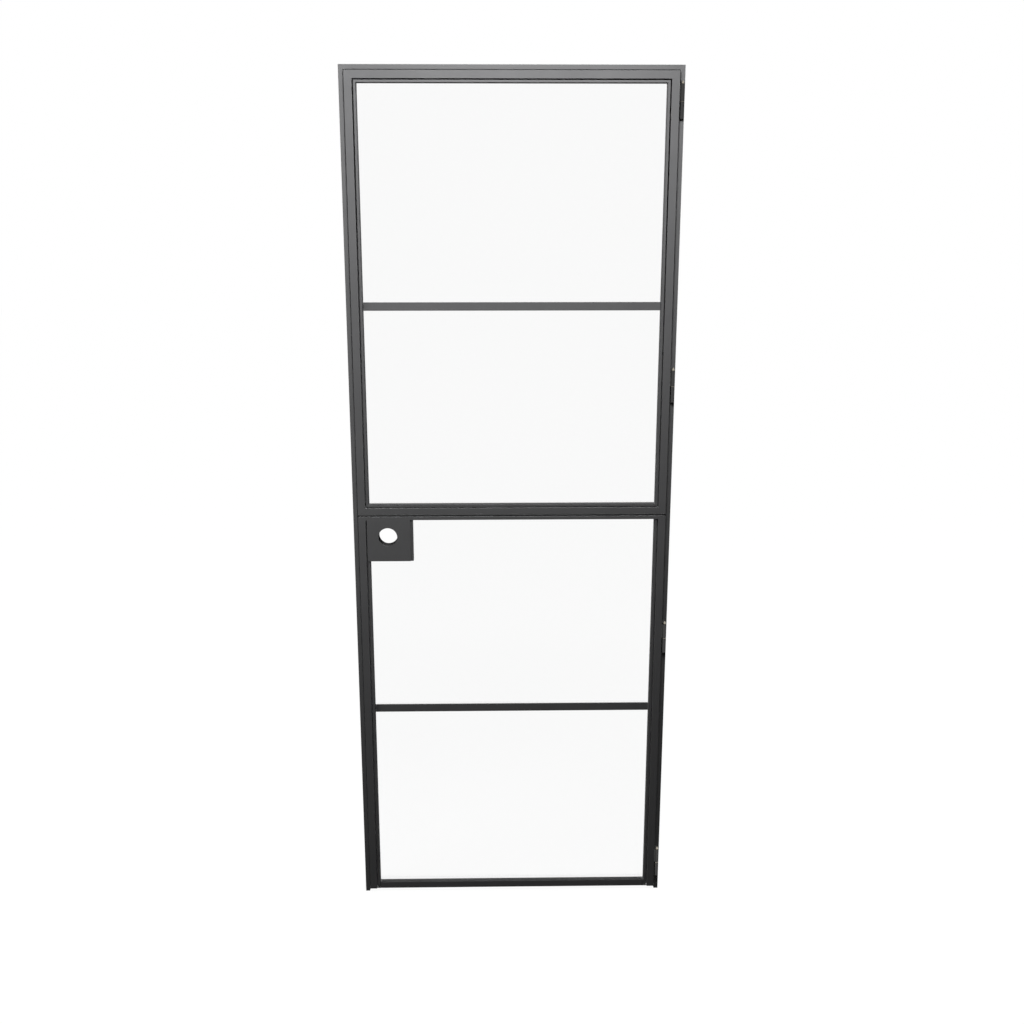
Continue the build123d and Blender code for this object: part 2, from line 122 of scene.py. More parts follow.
# %% Reckon with the values of a tree
def reckoned(tree, place, operation, *values, clamp=False):
    """What a Math node makes of its values."""
    sockets = dict(enumerate(values))
    node = add_node(
        tree, "ShaderNodeMath", place, sockets, operation=operation, use_clamp=clamp
    )
    return node.outputs[0]


def carried_over(tree, place, value, span, result, steps="LINEAR"):
    """A value between the ends of one span, carried over to another span."""
    sockets = {
        "Value": value,
        "From Min": span[0],
        "From Max": span[1],
        "To Min": result[0],
        "To Max": result[1],
    }
    node = add_node(tree, "ShaderNodeMapRange", place, sockets, interpolation_type=steps)
    return node.outputs["Result"]


# %% Find a place and its height, and cloud it with noise
def own_place(tree, place):
    """Where a point lies on its piece, in metres."""
    return add_node(tree, "ShaderNodeTexCoord", place).outputs["Object"]


def height_of(tree, place, vector):
    """The upward part of a place or of a normal."""
    return add_node(tree, "ShaderNodeSeparateXYZ", place, {"Vector": vector}).outputs["Z"]


def clouds(tree, place, where, scale, detail, roughness=0.5):
    """A soft noise between 0 and 1."""
    sockets = {"Vector": where, "Scale": scale, "Detail": detail, "Roughness": roughness}
    return add_node(tree, "ShaderNodeTexNoise", place, sockets).outputs["Fac"]


# %% Mix and darken colours
first_colour, second_colour, mixed_colour = 6, 7, 2


def blended(tree, place, share, first, second):
    """A colour that goes from the first to the second as the share goes from 0 to 1."""
    sockets = {"Factor": share, first_colour: first, second_colour: second}
    node = add_node(tree, "ShaderNodeMix", place, sockets, data_type="RGBA")
    return node.outputs[mixed_colour]


def shaded(tree, place, colour, share):
    """A colour times a share, darker under 1 and lighter over it."""
    sockets = {0: colour, "Scale": share}
    node = add_node(tree, "ShaderNodeVectorMath", place, sockets, operation="SCALE")
    return node.outputs[0]


# %% Start an empty group
def new_group(name, inputs, outputs):
    """An empty shader group with named inputs and outputs, and its two end nodes."""
    group = bpy.data.node_groups.new(name, "ShaderNodeTree")
    for socket_name, kind, default in inputs:
        socket = group.interface.new_socket(socket_name, in_out="INPUT", socket_type=kind)
        socket.default_value = default
    for socket_name, kind in outputs:
        group.interface.new_socket(socket_name, in_out="OUTPUT", socket_type=kind)
    entry = group.nodes.new("NodeGroupInput")
    entry.location = (-900, 0)
    leaving = group.nodes.new("NodeGroupOutput")
    leaving.location = (700, 0)
    return group, entry.outputs, leaving.inputs


helpers = (add_node, reckoned, carried_over, own_place, height_of, clouds, blended, shaded)
print("helpers", [helper.__name__ for helper in (*helpers, new_group)])

# %% [markdown]
# ## The skin of a sprayed coat
# Paint on steel is never one even tone. It has a fine grain of droplets, a wider mottle where
# the coat is thicker or thinner, and places that have been wiped and shine a little more. Paint,
# rubber and brass all need such a skin. Each could have noises of its own, but one group with
# named inputs is built once and takes its own values in each finish.

# %% Start the group for a fine surface skin
skin_group, skin_in, skin_out = new_group(
    "fine_skin",
    [
        ("Colour", "NodeSocketColor", (0.05, 0.05, 0.05, 1.0)),
        ("Mottle", "NodeSocketFloat", 0.15),
        ("Mottle Scale", "NodeSocketFloat", 14.0),
        ("Grain Scale", "NodeSocketFloat", 900.0),
        ("Roughness", "NodeSocketFloat", 0.45),
        ("Roughness Spread", "NodeSocketFloat", 0.08),
    ],
    [
        ("Colour", "NodeSocketColor"),
        ("Roughness", "NodeSocketFloat"),
        ("Height", "NodeSocketFloat"),
    ],
)
print("group", skin_group.name, "with its two end nodes", len(skin_group.nodes))

# %% Add the mottle and the wiped places
noise_middle = 0.5
skin_place = own_place(skin_group, (-900, -300))
mottle = clouds(
    skin_group, (-650, 200), skin_place, skin_in["Mottle Scale"], detail=4.0, roughness=0.6
)
swing = reckoned(skin_group, (-400, 250), "ADD", mottle, -noise_middle)
tone = reckoned(skin_group, (-200, 250), "MULTIPLY_ADD", swing, skin_in["Mottle"], 1.0)
skin_colour = shaded(skin_group, (100, 250), skin_in["Colour"], tone)
skin_roughness = reckoned(
    skin_group,
    (-200, 0),
    "MULTIPLY_ADD",
    swing,
    skin_in["Roughness Spread"],
    skin_in["Roughness"],
)
print("mottle swings about", noise_middle, "nodes so far", len(skin_group.nodes))

# %% Add the droplets and close the group
grain = clouds(skin_group, (-650, -100), skin_place, skin_in["Grain Scale"], detail=2.0)
pores = add_node(
    skin_group,
    "ShaderNodeTexVoronoi",
    (-650, -400),
    {"Vector": skin_place, "Scale": skin_in["Grain Scale"], "Randomness": 1.0},
    feature="SMOOTH_F1",
)
relief = reckoned(skin_group, (-200, -200), "ADD", grain, pores.outputs["Distance"])
skin_group.links.new(skin_colour, skin_out["Colour"])
skin_group.links.new(skin_roughness, skin_out["Roughness"])
skin_group.links.new(relief, skin_out["Height"])
print("group", skin_group.name, "nodes", len(skin_group.nodes))

# %% [markdown]
# ## Where edges are rubbed
# A sprayed coat is thinner on an edge, and hands and cloths polish it there. Its colour is
# lightened there, partly as wear and partly as a painted highlight where an edge catches the
# light. Pointiness would need a dense mesh to find the edges, and these steel bars have few
# corners. The Bevel node works on them: it gives the normal of a rounded edge, and where that
# differs from the flat face's own normal there is an edge. A noise breaks the line, so that it
# looks rubbed and not drawn.

# %% Build the group for worn edges with a painted highlight
wear_highlight_group, wear_highlight_in, wear_highlight_out = new_group(
    "rubbed_edge",
    [
        ("Width", "NodeSocketFloat", 0.0008),
        ("Amount", "NodeSocketFloat", 0.5),
    ],
    [("Mask", "NodeSocketFloat")],
)
# Edge wear and a painted highlight: this mask lightens the coat along the edges.
flat_normal = add_node(wear_highlight_group, "ShaderNodeNewGeometry", (-650, -200)).outputs["True Normal"]
round_normal = add_node(
    wear_highlight_group, "ShaderNodeBevel", (-650, 150), {"Radius": wear_highlight_in["Width"]}, samples=4
)
agreement = add_node(
    wear_highlight_group,
    "ShaderNodeVectorMath",
    (-400, 50),
    {0: round_normal.outputs["Normal"], 1: flat_normal},
    operation="DOT_PRODUCT",
)
edge_begins, edge_full = 0.98, 0.80
edge = carried_over(
    wear_highlight_group, (-200, 50), agreement.outputs["Value"], (edge_begins, edge_full), (0.0, 1.0)
)
wear_highlight_place = own_place(wear_highlight_group, (-650, -450))
patches = clouds(wear_highlight_group, (-400, -350), wear_highlight_place, scale=22.0, detail=5.0, roughness=0.65)
broken = reckoned(wear_highlight_group, (50, 0), "MULTIPLY", edge, patches)
wear_highlight_mask = reckoned(wear_highlight_group, (300, 0), "MULTIPLY", broken, wear_highlight_in["Amount"], clamp=True)
wear_highlight_group.links.new(wear_highlight_mask, wear_highlight_out["Mask"])
print("group", wear_highlight_group.name, "nodes", len(wear_highlight_group.nodes))

# %% [markdown]
# ## Where grime and dust settle
# The groove between flange and bead, the slot beside the jamb and the corners behind the beads
# hardly see the room. Their tone could be painted by hand, but the Ambient Occlusion node finds
# them by itself: it measures how much of the sky above a point is shut off within a short
# distance. There the coat's colour is changed by its height: high up it is darkened as painted
# shade, and low down it is lightened as painted light that lifts the shade. A ledge deep in a
# crevice faces up and is lightened the most, as between the two leaves.

# %% Find the crevices
crevice_reach = 0.012
painted_crevice_group, painted_crevice_in, painted_crevice_out = new_group(
    "settled_crevice",
    [
        ("Colour", "NodeSocketColor", (0.05, 0.05, 0.05, 1.0)),
        ("Distance", "NodeSocketFloat", crevice_reach),
        ("Grime at Head", "NodeSocketFloat", 1.0),
        ("Dust at Foot", "NodeSocketFloat", 3.2),
        ("Dust on Ledge", "NodeSocketFloat", 5.5),
    ],
    [("Colour", "NodeSocketColor")],
)
shut_sky, free_sky = 0.25, 0.75
deepest_sky, shallow_sky = 0.15, 0.45
seen_sky = add_node(
    painted_crevice_group,
    "ShaderNodeAmbientOcclusion",
    (-650, 250),
    {"Distance": painted_crevice_in["Distance"]},
    samples=8,
).outputs["AO"]
shut_share = carried_over(
    painted_crevice_group, (-400, 250), seen_sky, (shut_sky, free_sky), (1.0, 0.0)
)
deep_share = carried_over(
    painted_crevice_group, (-400, 500), seen_sky, (deepest_sky, shallow_sky), (1.0, 0.0)
)
print("crevices are looked for within", crevice_reach, "m")

# %% Find how much each crevice is darkened or lightened
full_light_below, full_shade_above = 0.2, 2.1
tilted_ledge, level_ledge = 0.75, 0.95
crevice_place = own_place(painted_crevice_group, (-900, -250))
crevice_height = height_of(painted_crevice_group, (-700, -250), crevice_place)
# Painted shade high up and painted light low down: the crevice colour is darkened or lightened by height.
head_change = reckoned(painted_crevice_group, (-650, -80), "SUBTRACT", 0.0, painted_crevice_in["Grime at Head"])
painted_change = carried_over(
    painted_crevice_group,
    (-400, -100),
    crevice_height,
    (full_light_below, full_shade_above),
    (painted_crevice_in["Dust at Foot"], head_change),
)
facing = add_node(painted_crevice_group, "ShaderNodeNewGeometry", (-900, -450)).outputs["True Normal"]
upward = height_of(painted_crevice_group, (-700, -450), facing)
# Painted light on up-facing ledges deep in a crevice, which lifts their shade.
ledge = carried_over(
    painted_crevice_group,
    (-400, -400),
    upward,
    (tilted_ledge, level_ledge),
    (0.0, painted_crevice_in["Dust on Ledge"]),
)
print("painted light below", full_light_below, "m and painted shade above", full_shade_above, "m")

# %% Change the colour there and close the group
# The painted shade or painted light is applied only where the crevice shuts off the sky.
all_change = reckoned(
    painted_crevice_group, (-150, -150), "MULTIPLY_ADD", ledge, deep_share, painted_change
)
left_over = reckoned(painted_crevice_group, (0, 100), "MULTIPLY_ADD", shut_share, all_change, 1.0)
changed = shaded(painted_crevice_group, (300, 100), painted_crevice_in["Colour"], left_over)
painted_crevice_group.links.new(changed, painted_crevice_out["Colour"])
print("group", painted_crevice_group.name, "nodes", len(painted_crevice_group.nodes))

# %% [markdown]
# ## How a finish is put together
# Every finish here has values that are the same all over, which stand on the shader itself, a
# colour and a roughness that change over the surface, and a bump that gives its relief. Each
# material could repeat these lines, but three small helpers keep the finishes short.


# %% Start a finish, give it its skin and link its relief
def new_finish(name, constants):
    """A new material, with the values that are the same all over set on its shader."""
    material = bpy.data.materials.new(name)
    material.use_nodes = True
    shader = material.node_tree.nodes["Principled BSDF"]
    for socket_name, value in constants.items():
        shader.inputs[socket_name].default_value = value
    return material, material.node_tree, shader


def skin_of(tree, colour, roughness, mottle, mottle_scale=14.0):
    """The fine skin, with the values of one finish."""
    sockets = {
        "Colour": (*colour, 1.0),
        "Mottle": mottle,
        "Mottle Scale": mottle_scale,
        "Roughness": roughness,
    }
    return add_node(tree, "ShaderNodeGroup", (-700, 100), sockets, node_tree=skin_group).outputs


def dress_shader(tree, shader, colour, roughness, height, strength, depth):
    """Link a colour, a roughness and a relief, whose depth is in metres, to the shader."""
    sockets = {"Strength": strength, "Distance": depth, "Height": height}
    bump = add_node(tree, "ShaderNodeBump", (-350, -200), sockets)
    tree.links.new(colour, shader.inputs["Base Color"])
    tree.links.new(roughness, shader.inputs["Roughness"])
    tree.links.new(bump.outputs["Normal"], shader.inputs["Normal"])


print("finishes start from", new_finish.__name__, skin_of.__name__, dress_shader.__name__)

# %% [markdown]
# ## Satin black paint
# The steel is sprayed a satin black that reads as a deep neutral grey. One dark colour would look
# like plastic, so the coat has its skin, its worn edges with a painted highlight, and painted shade
# and painted light in its crevices. A bump of a few hundredths of a millimetre gives the fine
# droplets. The hinges are bought ready coated in a glossier black, so one function builds the tree
# and both coats take it.


# %% A coat of paint
def coat_of_paint(name, colour, worn_highlight_colour, roughness, mottle, wear_highlight_amount, gloss, metal, rim=1.0):
    """A dark coat with a fine skin; gloss is its share of mirror light and rim that at its sides."""
    constants = {
        "IOR": 1.5,
        "Specular IOR Level": gloss,
        "Metallic": metal,
        "Specular Tint": (rim, rim, rim, 1.0),
    }
    material, tree, shader = new_finish(name, constants)
    skin = skin_of(tree, colour, roughness, mottle)
    # Edge wear with a painted highlight: the edges are lightened towards the rubbed colour.
    wear_highlight = add_node(
        tree, "ShaderNodeGroup", (-700, -250), {"Amount": wear_highlight_amount}, node_tree=wear_highlight_group
    )
    worn_and_highlit = blended(tree, (-350, 100), wear_highlight.outputs["Mask"], skin["Colour"], (*worn_highlight_colour, 1.0))
    # Painted shade high in the crevices, and painted light low down and on ledges.
    crevice = add_node(
        tree, "ShaderNodeGroup", (-150, 150), {"Colour": worn_and_highlit}, node_tree=painted_crevice_group
    )
    crevice_painted_colour = crevice.outputs["Colour"]
    dress_shader(
        tree, shader, crevice_painted_colour, skin["Roughness"], skin["Height"], strength=0.25, depth=0.00006
    )
    return material


# %% Spray the steel and the hinges
black_paint = coat_of_paint(
    "black_paint",
    colour=(0.057, 0.057, 0.058),
    worn_highlight_colour=(0.13, 0.13, 0.13),
    roughness=0.68,
    mottle=0.22,
    wear_highlight_amount=0.5,
    gloss=0.04,
    metal=0.0,
)
hinge_paint = coat_of_paint(
    "hinge_paint",
    colour=(0.056, 0.056, 0.056),
    worn_highlight_colour=(0.10, 0.10, 0.10),
    roughness=0.26,
    mottle=0.18,
    wear_highlight_amount=0.5,
    gloss=0.5,
    metal=1.0,
    rim=0.12,
)
print("coats", black_paint.name, hinge_paint.name)

# %% [markdown]
# ## Satin brass
# The pins and washers are turned from brass on a lathe, and the tool leaves fine rings round
# them. The rings could be cut into the mesh, but they lie a fraction of a millimetre apart and
# would take thousands of faces. A noise that is squeezed along the axis and feeds the bump gives
# them without one face more.

# %% Build the brass
satin_brass, brass_tree, brass_shader = new_finish("satin_brass", {"Metallic": 1.0})
brass_skin = skin_of(
    brass_tree, colour=(0.42, 0.39, 0.325), roughness=0.38, mottle=0.25, mottle_scale=160.0
)
across_axis, along_axis = 30.0, 6000.0
brass_place = own_place(brass_tree, (-1150, -300))
squeezed = add_node(
    brass_tree,
    "ShaderNodeMapping",
    (-950, -300),
    {"Vector": brass_place, "Scale": (across_axis, across_axis, along_axis)},
)
turning_marks = clouds(
    brass_tree, (-700, -300), squeezed.outputs["Vector"], scale=1.0, detail=3.0
)
dress_shader(
    brass_tree,
    brass_shader,
    brass_skin["Colour"],
    brass_skin["Roughness"],
    turning_marks,
    strength=0.3,
    depth=0.00005,
)
print("brass", satin_brass.name, "nodes", len(brass_tree.nodes))

# %% [markdown]
# ## Black rubber
# The seals on the stops and the gaskets round the glass are matt black rubber. It could take the
# paint's tree, but rubber doesn't rub bright at its edges. It is blacker than the paint and has a
# dusty grain, so it takes the fine skin alone, rougher and with a stronger mottle and a deeper
# bump.

# %% Build the rubber
black_rubber, rubber_tree, rubber_shader = new_finish("black_rubber", {"IOR": 1.35})
rubber_skin = skin_of(
    rubber_tree, colour=(0.028, 0.028, 0.028), roughness=0.78, mottle=0.5, mottle_scale=60.0
)
dress_shader(
    rubber_tree,
    rubber_shader,
    rubber_skin["Colour"],
    rubber_skin["Roughness"],
    rubber_skin["Height"],
    strength=0.5,
    depth=0.0001,
)
print("rubber", black_rubber.name, "nodes", len(rubber_tree.nodes))

# %% [markdown]
# ## Clear glass
# The panes are clear float glass. They stop about a twentieth of the light, which is what sets
# them off from the white behind them. A thin transparent sheet would be quicker, but the panes
# are solid in the frame, so they bend and tint the light as real ones do. A slow wave changes
# the tone, the sheen and the surface a little, as a pane that is never quite flat or clean.

# %% Build the glass
clear_glass, glass_tree, glass_shader = new_finish(
    "clear_glass", {"Transmission Weight": 1.0, "IOR": 1.45}
)
glass_place = own_place(glass_tree, (-1100, 0))
glass_wave = clouds(glass_tree, (-850, -150), glass_place, scale=3.0, detail=1.0)
glass_tone = blended(
    glass_tree, (-550, 150), glass_wave, (0.944, 0.946, 0.945, 1.0), (0.950, 0.951, 0.950, 1.0)
)
most_smeared = 0.02
glass_smear = carried_over(glass_tree, (-550, -100), glass_wave, (0.0, 1.0), (0.0, most_smeared))
dress_shader(
    glass_tree, glass_shader, glass_tone, glass_smear, glass_wave, strength=0.05, depth=0.0005
)
print("glass", clear_glass.name, "nodes", len(glass_tree.nodes))

# %% [markdown]
# ## Dress the frame
# The record names a finish for each node, and the finishes here have the same names. They could
# be given out by hand, but the record itself says what goes where, and this way no node is left
# with its plain first colour.

# %% Give every node its finish
finishes = {
    material.name: material
    for material in (black_paint, hinge_paint, satin_brass, black_rubber, clear_glass)
}
for part in frame["record"]["subparts"]:
    node = nodes[part["node"]]
    node.data.materials.clear()
    node.data.materials.append(finishes[part["material_slot"]])

# %% [markdown]
# ## The hinges: where they sit
# A weld-on barrel hinge has two knuckles, a washer between them and a pin with a pointed head.
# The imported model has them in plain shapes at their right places. Their measures could be typed
# in again, but the axis, the heights of the washers and the size of the barrel are read from it
# here, so that nothing has to be fitted.

# %% Read the hinges' measures from the frame
hinge_x, hinge_y = frame["joints"][0]["pos_m"][:2]
washer_corners = nodes["hinge_washers"].data.vertices
washer_levels = sorted({round(corner.co.z, 4) for corner in washer_corners})
washer_heights = washer_levels[0::2][::-1]
washer_thickness = round(washer_levels[1] - washer_levels[0], 4)
lowest_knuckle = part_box("frame_knuckles")[0]
knuckle_length = round(washer_levels[0] - lowest_knuckle.z, 4)
barrel = round(hinge_x - lowest_knuckle.x, 4)
print("axis", hinge_x, hinge_y, "washers at", washer_heights)
print("knuckle", knuckle_length, "long, radius", barrel, "washer", washer_thickness, "thick")

# %% [markdown]
# ## The hinges: how they are turned
# Knuckles, washers and pins are all round about the hinge's axis. They could be lathed with the
# Screw modifier from an outline, but a helper that starts from a circle and raises it ring by
# ring, each ring with its own radius, builds them as a lathe leaves the steel. A closed piece,
# such as a washer, ends on its first ring, and the two are then merged.


# %% Helpers that open a primitive and raise a ring from it
def opened(name):
    """The primitive just added, named, with its place in its mesh, and open for editing."""
    piece = bpy.context.object
    piece.name = name
    bpy.ops.object.transform_apply(location=True, rotation=True, scale=True)
    bpy.ops.object.mode_set(mode="EDIT")
    bpy.ops.mesh.select_all(action="SELECT")
    return piece


def raise_ring(rise, share, centre):
    """Extrude what is selected upwards, and make it wider or narrower about the centre."""
    bpy.ops.mesh.extrude_region_move(TRANSFORM_OT_translate={"value": (0.0, 0.0, rise)})
    bpy.ops.transform.resize(value=(share, share, 1.0), center_override=centre)


print("helpers", opened.__name__, raise_ring.__name__)

# %% A helper that turns a piece from rings
lathe_sides = 40
merge_distance = 0.000001


def turned(name, foot, rings, hollow=False):
    """A piece turned about the hinge axis from rings, each a radius and a height over the foot."""
    bpy.ops.object.select_all(action="DESELECT")
    bpy.ops.mesh.primitive_circle_add(
        vertices=lathe_sides,
        radius=rings[0][0],
        fill_type="NOTHING" if hollow else "NGON",
        location=(hinge_x, hinge_y, foot + rings[0][1]),
    )
    piece = opened(name)
    for (old_radius, old_height), (radius, height) in zip(rings, rings[1:]):
        raise_ring(height - old_height, radius / old_radius, (hinge_x, hinge_y, foot + height))
    bpy.ops.mesh.select_all(action="SELECT")
    bpy.ops.mesh.remove_doubles(threshold=merge_distance)
    bpy.ops.mesh.normals_make_consistent(inside=False)
    bpy.ops.object.mode_set(mode="OBJECT")
    return piece


print("turned pieces have", lathe_sides, "sides")

# %% A helper that joins pieces and puts them in the frame
smooth_angle = 28


def joined(name, pieces, finish, body, *stands_for):
    """One dressed object from several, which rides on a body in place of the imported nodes."""
    bpy.ops.object.select_all(action="DESELECT")
    for piece in pieces:
        piece.select_set(True)
    bpy.context.view_layer.objects.active = pieces[0]
    bpy.ops.object.join()
    whole = bpy.context.object
    whole.name = name
    bpy.ops.object.shade_smooth_by_angle(angle=math.radians(smooth_angle))
    whole.data.materials.clear()
    whole.data.materials.append(finishes[finish])
    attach(whole, body)
    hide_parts(*stands_for)
    print(name, "faces", len(whole.data.polygons))
    return whole


print("edges under", smooth_angle, "degrees are shaded smooth")

# %% [markdown]
# ## Knuckles, webs and straps
# The rims of a bought knuckle are chamfered. The lower one stands on a flat web that is welded
# to the jamb, and the upper one ends in a strap that is welded flush into the leaf's flange. Web
# and strap are cut from flat bar with its arrises filed off. A Bevel modifier would round them
# as well, but the operator in edit mode leaves a finished mesh at once.

# %% The knuckle's outline
shank, pin_play = 0.0035, 0.00005
bore = shank + pin_play
chamfer, soft_corner = 0.0007, 0.0002
knuckle_rings = [
    (bore, 0.0),
    (barrel - chamfer, 0.0),
    (barrel - soft_corner, soft_corner),
    (barrel, chamfer),
    (barrel, knuckle_length - chamfer),
    (barrel - soft_corner, knuckle_length - soft_corner),
    (barrel - chamfer, knuckle_length),
    (bore, knuckle_length),
    (bore, 0.0),
]
print("knuckle rings", len(knuckle_rings), "bore", round(bore, 5))

# %% A web or strap
rounding_steps = 2


def flat_bar(name, low, high, rounding):
    """A bar between two corners with all its edges rounded."""
    bpy.ops.object.select_all(action="DESELECT")
    bpy.ops.mesh.primitive_cube_add(
        size=1.0,
        location=[(a + b) / 2 for a, b in zip(low, high)],
        scale=[b - a for a, b in zip(low, high)],
    )
    bar = opened(name)
    bpy.ops.mesh.bevel(offset=rounding, segments=rounding_steps, affect="EDGES")
    bpy.ops.object.mode_set(mode="OBJECT")
    return bar


print("edges of a bar are rounded in", rounding_steps, "steps")

# %% [markdown]
# ## Runs of weld
# A weld is a row of small overlapping pools. It could be a bump on a plain rod, but its outline
# shows against the jamb, so it is extruded step by step with a waist between two pools. At both
# ends the run thins out.

# %% A run of weld
pool_widths = (0.8, 1.0, 0.93)
run_out_width = 0.4
weld_sides = 10


def weld_run(name, foot, length, radius, pools):
    """A run of weld upwards from its foot, with a waist after each pool."""
    bpy.ops.object.select_all(action="DESELECT")
    bpy.ops.mesh.primitive_circle_add(
        vertices=weld_sides, radius=radius * run_out_width, fill_type="NGON", location=foot
    )
    run = opened(name)
    widths = list(pool_widths) * pools
    widths[-1] = run_out_width
    rise = length / len(widths)
    old_width = run_out_width
    for step, width in enumerate(widths, start=1):
        raise_ring(rise, width / old_width, (foot[0], foot[1], foot[2] + rise * step))
        old_width = width
    bpy.ops.mesh.select_all(action="SELECT")
    bpy.ops.mesh.normals_make_consistent(inside=False)
    bpy.ops.object.mode_set(mode="OBJECT")
    return run


print("weld steps in a pool", len(pool_widths))

# %% [markdown]
# ## The frame's knuckles
# Each of the four stands on its web on the front face of the hinge jamb, with a weld down both
# sides of the web. The web runs into the wall of the barrel but stays clear of the bore, where
# the pin is. The four are the same, so one loop makes them at the heights of the washers.

# %% Model the frame's knuckles
jamb_front = round(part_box("hinge_jamb")[0].y, 4)
web_half = 0.003
clear_of_bore = 0.0007
short_of_rim = 0.0004
web_rounding = 0.0004
weld_radius, weld_sunk, weld_margin, weld_pools = 0.0012, 0.0002, 0.003, 13
frame_pieces = []
for height in washer_heights:
    foot = height - knuckle_length
    frame_pieces.append(turned("frame_knuckle", foot, knuckle_rings, hollow=True))
    web_low = (hinge_x - web_half, hinge_y + bore + clear_of_bore, foot + short_of_rim)
    web_high = (hinge_x + web_half, jamb_front, foot + knuckle_length - short_of_rim)
    frame_pieces.append(flat_bar("knuckle_web", web_low, web_high, web_rounding))
    for side in (-1, 1):
        weld_foot = (hinge_x + side * web_half, jamb_front + weld_sunk, foot + weld_margin)
        weld_length = knuckle_length - 2 * weld_margin
        frame_pieces.append(
            weld_run("web_weld", weld_foot, weld_length, weld_radius, weld_pools)
        )
joined("turned_frame_knuckles", frame_pieces, "hinge_paint", "frame", "frame_knuckles")

# %% [markdown]
# ## The leaves' knuckles
# Each leaf hangs on two. They stand a hair above the washers, so that nothing touches as the leaf
# turns, and their straps reach to the edge of the hinge flange and are as thick as it. All four
# could be one object, but the upper leaf and the lower one move on their own, so each leaf gets
# its two knuckles as an object of its own.

# %% Model the leaves' knuckles
flange_low, flange_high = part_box("upper_hinge_flange")
flange_edge = round(flange_high.x, 4)
flange_front = round(flange_low.y, 4)
flange_back = round(flange_high.y, 4)
running_gap = 0.0003
knuckle_rise = washer_thickness + running_gap
strap_rounding = 0.0003
for leaf, heights in (("upper_leaf", washer_heights[:2]), ("lower_leaf", washer_heights[2:])):
    leaf_pieces = []
    for height in heights:
        foot = height + knuckle_rise
        leaf_pieces.append(turned("leaf_knuckle", foot, knuckle_rings, hollow=True))
        strap_low = (flange_edge, flange_front, foot + short_of_rim)
        strap_high = (
            hinge_x - bore - clear_of_bore,
            flange_back,
            foot + knuckle_length - short_of_rim,
        )
        leaf_pieces.append(flat_bar("knuckle_strap", strap_low, strap_high, strap_rounding))
    joined(f"turned_{leaf}_knuckles", leaf_pieces, "hinge_paint", leaf, f"{leaf}_knuckles")

# %% [markdown]
# ## Washers
# The washer takes the weight of the leaf and is the only brass that shows half-way up. It is
# thin, but its rounded rim catches the light, so it is turned with two soft corners, a little
# narrower than the barrel. A plain ring would show as a hard line.

# %% Model the washers
washer_radius, washer_rim = 0.0056, 0.0003
washer_rings = [
    (bore, 0.0),
    (washer_radius - washer_rim, 0.0),
    (washer_radius, washer_rim),
    (washer_radius, washer_thickness - washer_rim),
    (washer_radius - washer_rim, washer_thickness),
    (bore, washer_thickness),
    (bore, 0.0),
]
washer_pieces = [turned("washer", height, washer_rings, hollow=True) for height in washer_heights]
joined("turned_washers", washer_pieces, "satin_brass", "frame", "hinge_washers")

# %% [markdown]
# ## Pins
# The pin runs through both knuckles, and its head is turned in one with it: a collar with soft
# rims, a waist, and a taper that swells a little before it runs to a rounded point. A cone would
# be too straight, so each ring of the head is listed with its radius and its height.

# %% Model the pins
shank_chamfer = 0.0006
shank_length = 2 * knuckle_length + knuckle_rise + running_gap
head_rings = [
    (0.0038, 0.0),
    (0.0042, 0.0003),
    (0.0042, 0.0009),
    (0.0038, 0.0012),
    (0.0033, 0.0014),
    (0.0034, 0.0018),
    (0.0033, 0.0026),
    (0.0029, 0.0038),
    (0.0023, 0.0050),
    (0.0017, 0.0061),
    (0.0011, 0.0070),
    (0.0006, 0.0075),
    (0.0002, 0.0077),
]
pin_rings = [(shank - shank_chamfer, 0.0), (shank, shank_chamfer), (shank, shank_length)]
pin_rings += [(radius, shank_length + height) for radius, height in head_rings]
pin_pieces = [turned("pin", height - knuckle_length, pin_rings) for height in washer_heights]
joined("turned_pins", pin_pieces, "satin_brass", "frame", "hinge_pins")

# %% [markdown]
# ## Floor
# The door stands on a plain white studio floor. Lit as hard as white needs, that floor would
# flood the dark paint with light, so its white comes from a glow that only the camera, the
# glass and the glossy surfaces see. A thin share of plain diffuse white under the glow keeps
# the soft shadow at the foot of the door.

# %% Lay the floor
floor_size, under_the_door = 40.0, 0.0005
bpy.ops.object.select_all(action="DESELECT")
bpy.ops.mesh.primitive_plane_add(
    size=floor_size, location=(door_centre_x, 0.0, -under_the_door)
)
floor = bpy.context.object
floor.name = "studio_floor"
print("floor", floor_size, "m wide")

# %% Tell the rays that see the white from those that light the door
node_step = 200


def seen_share(tree, place):
    """1 for rays of the camera, of gloss and through glass, and 0 for the light itself."""
    left, level = place
    path = add_node(tree, "ShaderNodeLightPath", place).outputs
    camera_or_gloss = reckoned(
        tree, (left + node_step, level), "ADD", path["Is Camera Ray"], path["Is Glossy Ray"]
    )
    return reckoned(
        tree,
        (left + 2 * node_step, level),
        "ADD",
        camera_or_gloss,
        path["Is Transmission Ray"],
        clamp=True,
    )


print("rays are told apart by", seen_share.__name__)

